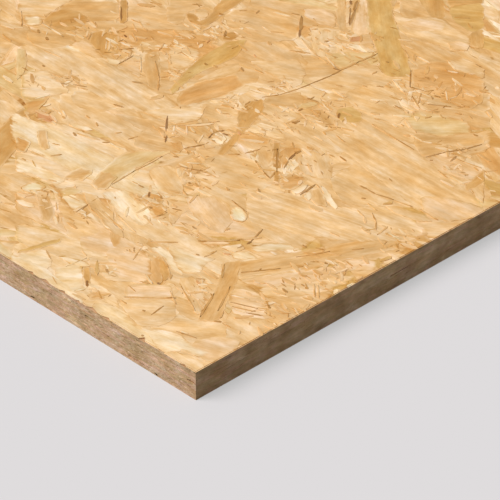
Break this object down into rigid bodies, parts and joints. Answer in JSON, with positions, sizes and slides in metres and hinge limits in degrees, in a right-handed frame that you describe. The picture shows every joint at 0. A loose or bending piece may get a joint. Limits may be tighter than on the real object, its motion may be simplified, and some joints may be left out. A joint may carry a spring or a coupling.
{
  "type": "oriented strand board panel",
  "caption": "Flat rectangular sheet of oriented strand board with square sawn edges, for sheathing, flooring and packing.",
  "frame": {"origin": "middle of the back face, which lies on the floor", "axes": "+X along the long side and most face strands, +Y across the sheet, +Z through its thickness to the face side"},
  "size_m": [2.44, 1.22, 0.018],
  "materials": {
    "osb_panel": "sanded pressed strands, matt with a faint resin sheen"
  },
  "bodies": {
    "root": {"osb_panel": "osb_panel"}
  },
  "joints": []
}
